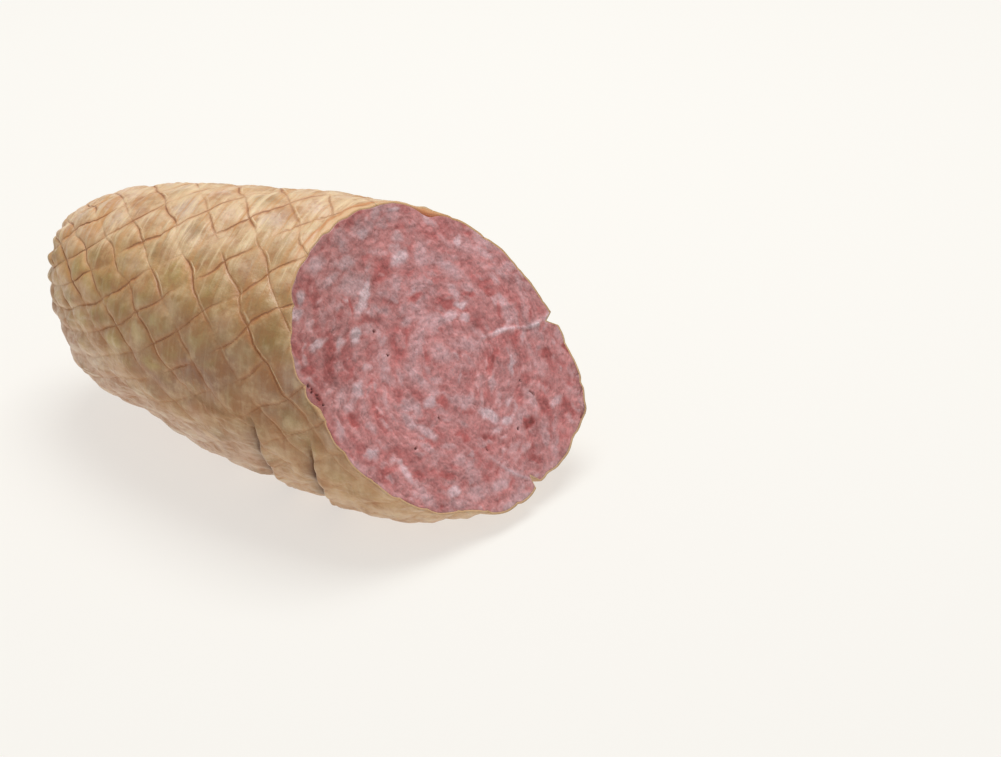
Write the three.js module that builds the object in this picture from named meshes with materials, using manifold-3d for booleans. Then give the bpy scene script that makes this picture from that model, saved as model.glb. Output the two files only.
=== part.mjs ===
// A cooked pork sausage in a natural casing that carries the marks of its net, cut on the slant.
// Millimetres. +X runs along the sausage from its closed end to its cut end, +Z is up, and it
// lies on Z = 0. Angles round the sausage are in degrees: 0 faces +Y, 90 is the top, 180 faces
// -Y and 270 is the underside.
import * as THREE from 'three';
import { mergeVertices } from 'three/addons/utils/BufferGeometryUtils.js';
import Module from 'manifold-3d';

// ---------------------------------------------------------------- driving dimensions

// The body, along X from the closed end's tip at -LENGTH to the middle of the cut at 0.
const LENGTH = 173.4;
const HALF_WIDTH = 56.6;
const HALF_HEIGHT = 56;
const PRESSED_FLAT = 1.5; // how far its own weight presses the underside
const GIRTH = [1, 0.034, -0.11, 0.05]; // the girth as a cubic in the share of the length
const END_BLUNTNESS = 1.89; // how late the closed end begins to narrow
const END_ROUNDNESS = 2.77; // how squarely it then closes
const END_LIFT = 4.3; // how far the tip bends upwards
const LIFT_START = 0.35; // the share of the length where that begins
const END_SWING = 21.4; // how far the tip bends towards +Y
const SWING_START = 0;

// How each ring strays from round: the number of lobes, then their cosine and sine parts as
// [steady, change along the length, bow along the length], as shares of the radius.
const LOBES = [
  { count: 2, cosine: [0.009, 0.01, 0.019], sine: [0.023, -0.028, 0.005] },
  { count: 3, cosine: [-0.006, -0.012, 0.012], sine: [0.02, -0.011, -0.021] },
  { count: 4, cosine: [0, 0.005, -0.011], sine: [-0.003, -0.004, 0] },
];

// Soft swellings and hollows of the flank.
const SWELLING_SPREAD = 24; // degrees
const SWELLINGS = [
  { x: 40, angle: 235, rise: -12.8, reach: 24 },
  { x: 29, angle: 212, rise: -10.4, reach: 24 },
  { x: -90, angle: 237, rise: 3.1, reach: 24 },
  { x: -143, angle: 227, rise: 7.6, reach: 24 },
  { x: -88, angle: 272, rise: 2.4, reach: 30 },
];

// The slanted cut through (0, 0, HALF_HEIGHT): its face looks along +X, turned towards -Y and
// tipped up by these angles.
const CUT_TURN = 18.8;
const CUT_TIP = 36;

// The net's marks: diamonds between two families of crossing lines.
const DIAMONDS_ROUND = 14;
const DIAMOND_LENGTH = 20.8;
const NET_START = 111.6; // along the skin from the tip to the crossing that sets the pattern
const NET_ANGLE = 123.9; // the angle of that crossing
const NET_TWIST = -0.75; // degrees for each diamond along
const NET_CURL = -0.24; // degrees for each diamond along, squared
const NET_CROWDING = 17.7; // degrees by which the diamonds crowd on one side
const NET_TILT = 5; // how far the rings of diamonds lean along the skin
const NET_LEAN = 4.8; // degrees from NET_ANGLE to where they lean most
const STEPS = 6; // mesh steps in one diamond, each way
const PILLOW = 1.1; // rise of a diamond's middle over the lines round it
const PILLOW_AT_END = 0.7; // more of it at the closed end
const PILLOW_LEVEL = 0.5; // the share of that rise at which the smooth skin lies

// The gathered closed end.
const GATHER_REACH = 15;
const DIMPLE = 5;
const DIMPLE_REACH = 9;
const PLEATS = 14;
const PLEAT_RISE = 0.9;

// Two pinched creases that run part of the way round, at X, turning by `slope` for each radian.
const CREASES = [
  { x: -51.8, slope: -2, from: 184, to: 262, width: 2.2, depth: 4.2 },
  { x: -27.7, slope: -3.2, from: 186, to: 262, width: 2, depth: 3.8 },
];
const CREASE_MIDDLE = 216;
const CREASE_STEPS = 14;
const CREASE_VALLEY = 1.6; // the soft valley in which a crease lies
const CREASE_VALLEY_WIDTH = 6;

// Two lengthwise folds of the casing that notch the edge of the cut.
const FOLDS = [
  { x: 23.4, angle: 357.2, width: 3.4, depth: 5, run: 26 },
  { x: 38.9, angle: 278.5, width: 3.4, depth: 5.5, run: 24 },
];

// The middle of the finished piece's box, which becomes the origin.
const BOX_MIDDLE = new THREE.Vector3(-64.7, 1.4, 0);

// ---------------------------------------------------------------- the body's form

const radians = THREE.MathUtils.degToRad;
const clamp = THREE.MathUtils.clamp;
const REACH_PAST_CUT = 110; // the uncut body goes on this far past the middle of the cut

// Half-width, half-height, middle height and sideways place of the ring at x.
function ringAt(x) {
  const share = -x / LENGTH;
  const closed = clamp(share, 0, 1);
  const s = clamp(share, -0.6, 1);
  const girth = GIRTH[0] + GIRTH[1] * s + GIRTH[2] * s * s + GIRTH[3] * s * s * s;
  const closing = Math.max(1 - closed ** END_BLUNTNESS, 0) ** (1 / END_ROUNDNESS);
  const lift = END_LIFT * clamp((share - LIFT_START) / (1 - LIFT_START), 0, 1) ** 2;
  const swing = END_SWING * clamp((share - SWING_START) / (1 - SWING_START), 0, 1) ** 2;
  const halfHeight = HALF_HEIGHT * girth * closing;
  return {
    halfWidth: HALF_WIDTH * girth * closing,
    halfHeight,
    middle: HALF_HEIGHT * girth + lift - PRESSED_FLAT,
    side: swing,
  };
}

// The share by which a ring's radius strays from round at an angle.
function lobesAt(x, angle) {
  const s = clamp(-x / LENGTH, -0.6, 1);
  const along = [1, 2 * s - 1, 2 * (2 * s - 1) ** 2 - 1];
  const mix = (parts) => parts.reduce((sum, part, i) => sum + part * along[i], 0);
  let radius = 1;
  for (const { count, cosine, sine } of LOBES) {
    radius += mix(cosine) * Math.cos(count * radians(angle));
    radius += mix(sine) * Math.sin(count * radians(angle));
  }
  return radius;
}

// The shortest way round from one angle to another.
function turnBetween(angle, other) {
  return THREE.MathUtils.euclideanModulo(angle - other + 180, 360) - 180;
}

function swellingAt(x, angle) {
  let rise = 0;
  for (const swelling of SWELLINGS) {
    const along = (x - swelling.x) / swelling.reach;
    const round = turnBetween(angle, swelling.angle) / SWELLING_SPREAD;
    rise += swelling.rise * Math.exp(-along * along - round * round);
  }
  return rise;
}

// The smooth skin, before the net's marks.
function skinAt(x, angle) {
  const ring = ringAt(x);
  const lobes = lobesAt(x, angle);
  const swelling = swellingAt(x, angle) * Math.min(1, ring.halfHeight / 20);
  const y = (ring.halfWidth * lobes + swelling) * Math.cos(radians(angle)) + ring.side;
  const z = (ring.halfHeight * lobes + swelling) * Math.sin(radians(angle)) + ring.middle;
  return new THREE.Vector3(x, y, z);
}

// Length along the skin from the tip against x, as two columns to look up in.
const LOOKUP_ROWS = 800;
const lookup = { along: [0], x: [-LENGTH] };
for (let i = 1; i <= LOOKUP_ROWS; i += 1) {
  const x = -LENGTH + (LENGTH + REACH_PAST_CUT) * (i / LOOKUP_ROWS) ** 2;
  const radius = (ringAt(x).halfWidth + ringAt(x).halfHeight) / 2;
  const before = lookup.x[i - 1];
  const radiusBefore = (ringAt(before).halfWidth + ringAt(before).halfHeight) / 2;
  lookup.along.push(lookup.along[i - 1] + Math.hypot(x - before, radius - radiusBefore));
  lookup.x.push(x);
}

function xAlong(along) {
  const i = clamp(lookup.along.findIndex((value) => value > along), 1, LOOKUP_ROWS);
  const part = (along - lookup.along[i - 1]) / (lookup.along[i] - lookup.along[i - 1]);
  return lookup.x[i - 1] + part * (lookup.x[i] - lookup.x[i - 1]);
}

// ---------------------------------------------------------------- the net's marks

// A place in the net's own measure, p diamonds along and q round, on the skin: the length
// along from the tip, and the angle.
function netPlace(p, q) {
  const turn = (q * 360) / DIAMONDS_ROUND;
  const side = 1 - Math.cos(radians(turn - NET_LEAN));
  const lean = NET_TILT * THREE.MathUtils.smoothstep(NET_START + DIAMOND_LENGTH * p, 0, 60);
  return {
    along: NET_START + DIAMOND_LENGTH * p - lean * side,
    angle: NET_ANGLE - turn - NET_TWIST * p - NET_CURL * p * p - NET_CROWDING * side,
  };
}

// 0 on the net's lines and 1 in the middle of a diamond.
function pillowAt(p, q) {
  const across = (value) => 1 - (1 - 2 * Math.abs(THREE.MathUtils.euclideanModulo(value, 1) - 0.5)) ** 2;
  return across(p + q) * across(p - q);
}

// How far the marked skin stands off the smooth skin.
function reliefAt(p, q, along, x, angle) {
  const marked = THREE.MathUtils.smoothstep(along, GATHER_REACH * 0.4, GATHER_REACH * 1.6);
  const nearEnd = 1 - THREE.MathUtils.smoothstep(along, 20, 110);
  let relief = (PILLOW + PILLOW_AT_END * nearEnd) * marked * (pillowAt(p, q) - PILLOW_LEVEL);
  const gather = Math.sin(Math.PI * clamp(along / (2 * GATHER_REACH), 0, 1));
  relief += PLEAT_RISE * gather * Math.cos(radians(PLEATS * angle));
  relief -= DIMPLE * Math.exp(-((along / DIMPLE_REACH) ** 2));
  for (const crease of CREASES) {
    const off = (x - creaseX(crease, angle)) / CREASE_VALLEY_WIDTH;
    relief -= CREASE_VALLEY * creaseShare(crease, angle) * Math.exp(-off * off);
  }
  return relief;
}

function creaseX(crease, angle) {
  return crease.x + crease.slope * radians(turnBetween(angle, CREASE_MIDDLE));
}

// 1 in the middle of a crease, and 0 past its ends.
function creaseShare(crease, angle) {
  const inside = clamp((angle - crease.from) / (crease.to - crease.from), 0, 1);
  return Math.sqrt(Math.sin(Math.PI * inside));
}

// The skin's outward direction, from two short steps on it.
function outwardAt(along, angle) {
  const step = 0.6;
  const low = Math.max(along - step, 0.05);
  const lengthwise = skinAt(xAlong(low + 2 * step), angle).sub(skinAt(xAlong(low), angle));
  const round = skinAt(xAlong(along), angle + step).sub(skinAt(xAlong(along), angle - step));
  return round.cross(lengthwise).normalize();
}

function markedSkin(p, q) {
  const { along, angle } = netPlace(p, q);
  const x = xAlong(along);
  const point = skinAt(x, angle);
  const wrapped = THREE.MathUtils.euclideanModulo(angle, 360);
  point.addScaledVector(outwardAt(along, angle), reliefAt(p, q, along, x, wrapped));
  point.z = Math.max(point.z, 0); // the flat spot that it rests on
  return point;
}

// ---------------------------------------------------------------- the uncut sausage

const COLUMNS = DIAMONDS_ROUND * STEPS;
const HALF_DIAMOND = STEPS / 2;
const FIRST_ROW = Math.ceil((2 - NET_START) / (DIAMOND_LENGTH / STEPS));
const LAST_ROW = Math.floor((lookup.along[LOOKUP_ROWS] - NET_START) / (DIAMOND_LENGTH / STEPS)) - 1;

// A closed mesh whose rows are the net's rings. A cell that a line of the net crosses is
// split along that line, so that each line is a chain of edges.
function wholeSausage() {
  const points = [];
  for (let row = FIRST_ROW; row <= LAST_ROW; row += 1) {
    for (let column = 0; column < COLUMNS; column += 1) {
      points.push(markedSkin(row / STEPS, column / STEPS));
    }
  }
  const firstRing = points.slice(0, COLUMNS);
  const lastRing = points.slice(-COLUMNS);
  const middleOf = (ring) => ring.reduce((sum, p) => sum.add(p), new THREE.Vector3()).divideScalar(COLUMNS);
  const tip = points.push(middleOf(firstRing)) - 1;
  const back = points.push(middleOf(lastRing)) - 1;

  const rows = LAST_ROW - FIRST_ROW + 1;
  const faces = [];
  for (let i = 0; i < rows - 1; i += 1) {
    for (let column = 0; column < COLUMNS; column += 1) {
      const next = (column + 1) % COLUMNS;
      const a = i * COLUMNS + column;
      const b = i * COLUMNS + next;
      const c = (i + 1) * COLUMNS + next;
      const d = (i + 1) * COLUMNS + column;
      const fromLine = THREE.MathUtils.euclideanModulo(i + FIRST_ROW - column - HALF_DIAMOND, STEPS);
      if (fromLine === 0) {
        faces.push(a, c, b, a, d, c);
      } else {
        faces.push(a, d, b, b, d, c);
      }
    }
  }
  for (let column = 0; column < COLUMNS; column += 1) {
    const next = (column + 1) % COLUMNS;
    const lastRow = (rows - 1) * COLUMNS;
    faces.push(tip, column, next);
    faces.push(back, lastRow + next, lastRow + column);
  }
  const geometry = new THREE.BufferGeometry().setFromPoints(points);
  geometry.setIndex(faces);
  return geometry;
}

// ---------------------------------------------------------------- what is cut away

// Everything in front of the slanted cut.
function cutBlock() {
  const size = 500;
  const facing = new THREE.Vector3(
    Math.cos(radians(CUT_TURN)) * Math.cos(radians(CUT_TIP)),
    -Math.sin(radians(CUT_TURN)) * Math.cos(radians(CUT_TIP)),
    Math.sin(radians(CUT_TIP)),
  );
  const block = new THREE.BoxGeometry(size, size, size);
  block.applyQuaternion(new THREE.Quaternion().setFromUnitVectors(new THREE.Vector3(0, 0, 1), facing));
  const middle = facing.clone().multiplyScalar(size / 2).add(new THREE.Vector3(0, 0, HALF_HEIGHT));
  return block.translate(middle.x, middle.y, middle.z);
}

// A closed bar of triangular section through a row of [left lip, right lip, root] triples.
function wedgeThrough(sections) {
  const faces = [0, 1, 2];
  for (let i = 0; i < sections.length - 1; i += 1) {
    for (let side = 0; side < 3; side += 1) {
      const a = 3 * i + side;
      const b = 3 * i + ((side + 1) % 3);
      faces.push(a, a + 3, b, b, a + 3, b + 3);
    }
  }
  const last = 3 * (sections.length - 1);
  faces.push(last, last + 2, last + 1);
  const geometry = new THREE.BufferGeometry().setFromPoints(sections.flat());
  geometry.setIndex(faces);
  return geometry;
}

const LIP_ABOVE = 2.5; // how far a wedge stands out of the skin, so that it cuts right through

// The sharp bottom of a crease: narrow and deep in its middle, and running out at its ends.
function creaseWedge(crease) {
  const sections = [];
  for (let i = 0; i <= CREASE_STEPS; i += 1) {
    const angle = THREE.MathUtils.lerp(crease.from, crease.to, i / CREASE_STEPS);
    const share = Math.max(creaseShare(crease, angle), 0.05);
    const x = creaseX(crease, angle);
    const skin = skinAt(x, angle);
    const out = new THREE.Vector3(0, Math.cos(radians(angle)), Math.sin(radians(angle)));
    const lip = skin.clone().addScaledVector(out, LIP_ABOVE);
    const half = (crease.width * share * (crease.depth + LIP_ABOVE)) / crease.depth / 2;
    sections.push([
      lip.clone().setX(x - half),
      lip.clone().setX(x + half),
      skin.clone().addScaledVector(out, -crease.depth * share),
    ]);
  }
  return wedgeThrough(sections);
}

// A fold's notch: deepest at the cut, and running out along the body.
function foldWedge(fold) {
  const out = new THREE.Vector3(0, Math.cos(radians(fold.angle)), Math.sin(radians(fold.angle)));
  const round = new THREE.Vector3(0, out.z, -out.y);
  const half = (fold.width * (fold.depth + LIP_ABOVE)) / fold.depth / 2;
  const sections = [];
  for (const [x, share] of [[fold.x + 12, 1], [fold.x - fold.run / 3, 0.7], [fold.x - fold.run, 0.04]]) {
    const skin = skinAt(x, fold.angle);
    const lip = skin.clone().addScaledVector(out, LIP_ABOVE);
    sections.push([
      lip.clone().addScaledVector(round, half * share),
      lip.clone().addScaledVector(round, -half * share),
      skin.clone().addScaledVector(out, -fold.depth * share),
    ]);
  }
  return wedgeThrough(sections);
}

// ---------------------------------------------------------------- solids and the finished piece

const wasm = await Module();
wasm.setup();

function solidOf(geometry) {
  geometry.deleteAttribute('normal');
  geometry.deleteAttribute('uv');
  const merged = mergeVertices(geometry, 1e-4);
  const solid = new wasm.Manifold(new wasm.Mesh({
    numProp: 3,
    vertProperties: merged.getAttribute('position').array,
    triVerts: new Uint32Array(merged.index.array),
  }));
  return solid;
}

function geometryOf(solid) {
  const mesh = solid.getMesh();
  const geometry = new THREE.BufferGeometry();
  geometry.setAttribute('position', new THREE.BufferAttribute(mesh.vertProperties, 3));
  geometry.setIndex(new THREE.BufferAttribute(mesh.triVerts, 1));
  geometry.computeVertexNormals();
  return geometry;
}

function buildSausage() {
  let solid = solidOf(wholeSausage());
  for (const crease of CREASES) {
    solid = solid.subtract(solidOf(creaseWedge(crease)));
  }
  for (const fold of FOLDS) {
    solid = solid.subtract(solidOf(foldWedge(fold)));
  }
  solid = solid.subtract(solidOf(cutBlock()));
  const rind = new THREE.MeshStandardMaterial({ color: 0xb08a5c, roughness: 0.5, metalness: 0 });
  const mesh = new THREE.Mesh(geometryOf(solid), rind);
  mesh.name = 'sausage';
  mesh.position.copy(BOX_MIDDLE).negate();
  return mesh;
}

const group = new THREE.Group();
group.add(buildSausage());

export default group;
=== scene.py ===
# %% [markdown]
# # A cooked pork sausage, cut on the slant
#
# The object is a thick cooked sausage in a natural casing. A net held it while it cooked, and
# left its marks all round. One end is closed; the other is cut at a slant and shows the meat.
#
# A sculptor would push clay about for a shape like this. Here every surface is a formula of two
# numbers instead, worked out on a whole grid at once, because a formula can be read, measured
# and changed by one value. All lengths are in millimetres until a mesh is made.

# %% The fixed frame
import bpy
import numpy as np
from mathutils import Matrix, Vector


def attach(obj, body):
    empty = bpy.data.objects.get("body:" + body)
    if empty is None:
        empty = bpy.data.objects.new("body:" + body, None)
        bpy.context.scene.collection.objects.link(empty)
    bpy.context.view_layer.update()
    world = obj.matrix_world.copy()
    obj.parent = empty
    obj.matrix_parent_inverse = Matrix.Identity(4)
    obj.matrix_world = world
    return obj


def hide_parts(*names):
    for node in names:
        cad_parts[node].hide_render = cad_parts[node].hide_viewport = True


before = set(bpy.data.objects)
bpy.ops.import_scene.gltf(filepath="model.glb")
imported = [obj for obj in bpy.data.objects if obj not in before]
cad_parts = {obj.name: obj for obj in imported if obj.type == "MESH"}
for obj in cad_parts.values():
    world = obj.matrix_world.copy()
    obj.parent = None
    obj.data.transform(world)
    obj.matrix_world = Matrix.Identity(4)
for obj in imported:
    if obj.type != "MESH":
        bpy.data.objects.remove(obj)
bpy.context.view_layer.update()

# %% [markdown]
# ## The sizes that drive the shape
#
# The sausage lies along X, with its closed end's tip at -LENGTH and the middle of the cut at 0.
# Angles round it are in degrees: 0 faces +Y, 90 is the top, 180 faces -Y and 270 is underneath.
# These are the sizes of the solid that this scene dresses, so the new skin lands where the solid
# is. Measuring the solid's mesh instead would work too, but would copy its flat facets.

# %% Sizes of the body and its cut
MM = 0.001
LENGTH = 173.4
HALF_WIDTH = 56.6
HALF_HEIGHT = 56
PRESSED_FLAT = 1.5
GIRTH = (1, 0.034, -0.11, 0.05)
END_BLUNTNESS = 1.89
END_ROUNDNESS = 2.77
END_LIFT = 4.3
LIFT_START = 0.35
END_SWING = 21.4
BODY_REACH = 110
BOX_MIDDLE = np.array([-64.7, 1.4, 0])
CUT_TURN = 18.8
CUT_TIP = 36

# Lobes round each ring: how many, then cosine and sine shares as (steady, change, bow).
LOBES = (
    (2, (0.009, 0.01, 0.019), (0.023, -0.028, 0.005)),
    (3, (-0.006, -0.012, 0.012), (0.02, -0.011, -0.021)),
    (4, (0, 0.005, -0.011), (-0.003, -0.004, 0)),
)
# Swellings and hollows of the flank: x, angle, rise, reach.
SWELLING_SPREAD = 24
SWELLINGS = (
    (40, 235, -12.8, 24),
    (29, 212, -10.4, 24),
    (-90, 237, 3.1, 24),
    (-143, 227, 7.6, 24),
    (-88, 272, 2.4, 30),
)
print("length to the cut's middle:", LENGTH, "mm, height:", 2 * HALF_HEIGHT, "mm")

# %% [markdown]
# ## The smooth skin
#
# A sausage is a tube that closes: at each place along it there is a ring, and the ring's
# half-width and half-height shrink to nothing at the tip. A superellipse would be too regular,
# so each ring also gets a few slow lobes and the flank a few swellings, as soft food has.

# %% The smooth skin as a function of x and angle
def ring_at(x):
    """Half-width, half-height, middle height and side place of the ring at x: the size at the
    cut, times a cubic for the girth, times (1 - share ** bluntness) ** (1 / roundness)."""
    share = -x / LENGTH
    closed = np.clip(share, 0, 1)
    s = np.clip(share, -0.6, 1)
    girth = GIRTH[0] + GIRTH[1] * s + GIRTH[2] * s**2 + GIRTH[3] * s**3
    dome = np.maximum(1 - closed**END_BLUNTNESS, 0) ** (1 / END_ROUNDNESS)
    lift = END_LIFT * np.clip((share - LIFT_START) / (1 - LIFT_START), 0, 1) ** 2
    swing = END_SWING * closed**2
    middle = HALF_HEIGHT * girth + lift - PRESSED_FLAT
    return HALF_WIDTH * girth * dome, HALF_HEIGHT * girth * dome, middle, swing


def lobes_at(x, angle):
    """1 plus, for each lobe count k, cosine(k angle) and sine(k angle) times shares that
    change slowly along the body."""
    s = 2 * np.clip(-x / LENGTH, -0.6, 1) - 1
    along = (1, s, 2 * s**2 - 1)
    radius = np.ones(np.broadcast(x, angle).shape)
    for count, cosine, sine in LOBES:
        turn = count * np.radians(angle)
        radius += sum(share * part for share, part in zip(cosine, along)) * np.cos(turn)
        radius += sum(share * part for share, part in zip(sine, along)) * np.sin(turn)
    return radius


def turn_between(angle, other):
    """The shortest way round from other to angle, in degrees."""
    return (angle - other + 180) % 360 - 180


def swelling_at(x, angle):
    """The sum of bell shapes: rise times exp of minus the squared distance in reaches."""
    rise = 0
    for x_middle, angle_middle, height, reach in SWELLINGS:
        along = (x - x_middle) / reach
        around = turn_between(angle, angle_middle) / SWELLING_SPREAD
        rise = rise + height * np.exp(-(along**2) - around**2)
    return rise


def skin_at(x, angle):
    """The smooth skin: from the ring's middle, cosine and sine of the angle times half the
    width and half the height, each times the lobes and plus the swelling."""
    half_width, half_height, middle, side = ring_at(x)
    lobes = lobes_at(x, angle)
    swelling = swelling_at(x, angle) * np.minimum(1, half_height / 20)
    y = (half_width * lobes + swelling) * np.cos(np.radians(angle)) + side
    z = (half_height * lobes + swelling) * np.sin(np.radians(angle)) + middle
    return np.stack(np.broadcast_arrays(x, y, z), -1)


top_point = skin_at(np.array([0.0]), np.array([90.0]))
print("top of the smooth skin at the cut's middle:", top_point.round(1))

# %% [markdown]
# ## Length along the skin
#
# At the blunt tip, equal steps in x would leave wide gaps on the skin. Equal steps along the
# skin's own profile don't, so the grid counts in that length, and a lookup turns it back into x.

# %% Length along the profile
profile_x = -LENGTH + (LENGTH + BODY_REACH) * np.linspace(0, 1, 801) ** 2
profile_radius = (ring_at(profile_x)[0] + ring_at(profile_x)[1]) / 2
profile_steps = np.hypot(np.diff(profile_x), np.diff(profile_radius))
profile_along = np.concatenate([[0], np.cumsum(profile_steps)])


def x_along(along):
    """x at a length along the profile, counted from the tip."""
    return np.interp(along, profile_along, profile_x)


def outward_at(along, angle, step=0.6):
    """The skin's outward direction: the cross product of a step round and a step along."""
    low = np.maximum(along - step, 0.05)
    lengthwise = skin_at(x_along(low + 2 * step), angle) - skin_at(x_along(low), angle)
    x = x_along(along)
    round_it = skin_at(x, angle + step) - skin_at(x, angle - step)
    outward = np.cross(round_it, lengthwise)
    return outward / np.linalg.norm(outward, axis=-1, keepdims=True)


profile_to_cut = np.interp(0, profile_x, profile_along)
print("from the tip to the cut's middle along the skin:", profile_to_cut.round(1), "mm")

# %% [markdown]
# ## Random fields that are smooth
#
# Food is never even. A smooth random field is a sum of waves with random directions and phases:
# waves of one length look like lumps of that size. A noise texture could do this in a material,
# but a field in numpy can move the mesh and tint it at the same places.

# %% Fields made of waves
def lump_field(seed, size, count=40, stretch=(1, 1, 1)):
    """A field over x, y, z: the sum of cosines of (direction . place / length + phase), scaled
    to a spread of 1. stretch lengthens the lumps along the axes."""
    rng = np.random.default_rng(seed)
    direction = rng.normal(size=(count, 3))
    direction /= np.linalg.norm(direction, axis=1, keepdims=True)
    wave = 2 * np.pi * direction / (size * rng.uniform(0.75, 1.5, (count, 1)) * np.array(stretch))
    phase = rng.uniform(0, 2 * np.pi, count)

    def field(places):
        return np.cos(places @ wave.T + phase).sum(-1) * np.sqrt(2 / count)

    return field


def skin_field(seed, size_along, size_round, count=40):
    """A field over length along and angle that closes on itself round the body: the sum of
    cosines of (along / length + whole number * angle + phase), scaled to a spread of 1."""
    rng = np.random.default_rng(seed)
    wave = 2 * np.pi / (size_along * rng.uniform(0.7, 1.6, count))
    turns = np.rint(rng.normal(0, 350 / size_round, count))
    phase = rng.uniform(0, 2 * np.pi, count)

    def field(along, angle):
        inside = along[..., None] * wave + np.radians(angle)[..., None] * turns + phase
        return np.cos(inside).sum(-1) * np.sqrt(2 / count)

    return field


def smoothstep(value, low, high):
    """0 below low, 1 above high, and 3 t^2 - 2 t^3 between them."""
    t = np.clip((value - low) / (high - low), 0, 1)
    return t * t * (3 - 2 * t)


test_places = np.random.default_rng(0).uniform(0, 99, (500, 3))
print("spread of a field:", lump_field(1, 10)(test_places).std().round(2))

# %% [markdown]
# ## The net's marks
#
# The net was two families of threads that cross. In the net's own measure, p diamonds along and
# q diamonds round, its threads are the lines where p + q or p - q is a whole number and a half.
# Drawing each thread as a curve would need dozens of curves; a formula for the distance to the
# nearest line gives them all at once, and the casing swells up between them like quilting.

# %% Where a place on the skin lies in the net
DIAMONDS_ROUND = 14
DIAMOND_LENGTH = 20.8
NET_START = 111.6
NET_ANGLE = 123.9
NET_TWIST = -0.75
NET_CURL = -0.24
NET_CROWDING = 17.7
NET_TILT = 5
NET_LEAN = 4.8
LINE_SPACING = 16  # mm from one thread to the next of its family
NET_ROUNDS = 12  # how often the net's formula is repeated until it settles


def net_at(along, angle):
    """p diamonds along and q round, by repeating the net's own formula until it settles."""
    turn = NET_ANGLE - angle
    p = (along - NET_START) / DIAMOND_LENGTH
    for _ in range(NET_ROUNDS):
        side = 1 - np.cos(np.radians(turn - NET_LEAN))
        lean = NET_TILT * smoothstep(NET_START + DIAMOND_LENGTH * p, 0, 60)
        p = (along + lean * side - NET_START) / DIAMOND_LENGTH
        turn = NET_ANGLE - angle - NET_TWIST * p - NET_CURL * p * p - NET_CROWDING * side
    return p, turn * DIAMONDS_ROUND / 360


def from_line(value):
    """Distance from value to the nearest whole number and a half, 0 on it and 0.5 between."""
    return np.abs(value - np.floor(value) - 0.5)


p_tip, q_tip = net_at(np.array([60.0]), np.array([180.0]))
print("60 mm from the tip, on the -Y side: p", p_tip.round(2), "q", q_tip.round(2))

# %% [markdown]
# ## The casing's relief
#
# What stands off the smooth skin: pillows between the threads, the threads' grooves, lumps of
# the meat beneath, ring-wise wrinkles where the casing dried, the pleats gathered at the tip,
# two pinched creases and two folds that notch the cut. Each is one short term in a sum. The
# solid's pillows are a little higher than these, which look right beside the photo.

# %% Sizes of the relief
PILLOW = 0.8
PILLOW_AT_END = 0.6
PILLOW_LEVEL = 0.5
TAUT_TOP = 0.75
GROOVE_DEPTH = 0.3
GROOVE_WIDTH = 1.0
GATHER_REACH = 15
DIMPLE = 5
DIMPLE_REACH = 9
PLEATS = 14
PLEAT_RISE = 0.9
THREAD_WOBBLE = 0.04  # of the distance between two threads
WIDE_LUMP_RISE = 0.32
SMALL_LUMP_RISE = 0.16
WRINKLE_RISE = 0.11

CREASE_MIDDLE = 216
CREASE_VALLEY_WIDTH = 6
CREASE_VALLEY_DEPTH = 2
CREASE_ROLL_RISE = 1.2
CREASES = (
    {"x": -51.0, "slope": -2.0, "bow": -3.0, "from": 184, "to": 262, "width": 1.0, "depth": 4.2},
    {"x": -26.9, "slope": -3.2, "bow": -3.0, "from": 186, "to": 262, "width": 0.9, "depth": 3.8},
)
FOLDS = (
    {"x": 23.4, "angle": 357.2, "width": 2.3, "depth": 4.6, "run": 26},
    {"x": 38.9, "angle": 278.5, "width": 2.4, "depth": 5.0, "run": 24},
)

wide_lumps = lump_field(11, 26)
small_lumps = lump_field(12, 9)
ring_wrinkles = skin_field(13, 3.4, 26, 64)
wrinkle_patches = lump_field(14, 30)
thread_wobble = (lump_field(15, 16), lump_field(16, 16))
thread_strength = (lump_field(17, 22), lump_field(18, 22))
print(len(CREASES), "creases and", len(FOLDS), "folds")

# %% [markdown]
# ### The sum
#
# Each function below gives one kind of relief in millimetres, and relief_at adds them up. The
# casing then stands off the smooth skin by that much, straight outwards. Displacement in a
# material would do the same for a picture, but not for the mesh that a printer or a game reads.

# %% The relief as a sum of terms
def crease_share(crease, angle):
    """1 in the middle of a crease and 0 past its ends: the root of a half sine wave."""
    inside = np.clip((angle % 360 - crease["from"]) / (crease["to"] - crease["from"]), 0, 1)
    return np.sqrt(np.maximum(np.sin(np.pi * inside), 0))


def crease_relief(crease, x, angle):
    """A slope that sinks slowly from the tip's side, a narrow slit, and a full roll beyond it,
    because the casing laps over itself there. Each is a bell shape of the distance from the
    crease's bowed line."""
    share = crease_share(crease, angle)
    round_it = np.radians(turn_between(angle, CREASE_MIDDLE))
    off = x - crease["x"] - crease["slope"] * round_it - crease["bow"] * round_it**2
    beyond = 0.5 * (1 + np.tanh(off / 0.7))
    slope = -CREASE_VALLEY_DEPTH * np.exp(-((off / CREASE_VALLEY_WIDTH) ** 2)) * (1 - beyond)
    roll = CREASE_ROLL_RISE * np.exp(-(((off - 3.4) / 3.0) ** 2)) * beyond
    slit = -crease["depth"] * np.exp(-((np.abs(off) / crease["width"]) ** 1.5))
    return share * (slope + roll + slit)


def fold_relief(fold, x, angle):
    """A V-shaped groove, deepest at the cut: minus its depth, times a run-out that falls to 0
    along the body, times 1 minus the distance from its middle line in half-widths."""
    off = np.abs(np.radians(turn_between(angle, fold["angle"]))) * HALF_WIDTH
    run_out = np.clip((x - fold["x"] + fold["run"]) / fold["run"], 0, 1.2) ** 1.5
    return -fold["depth"] * run_out * np.clip(1 - off / fold["width"], 0, 1)


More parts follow.
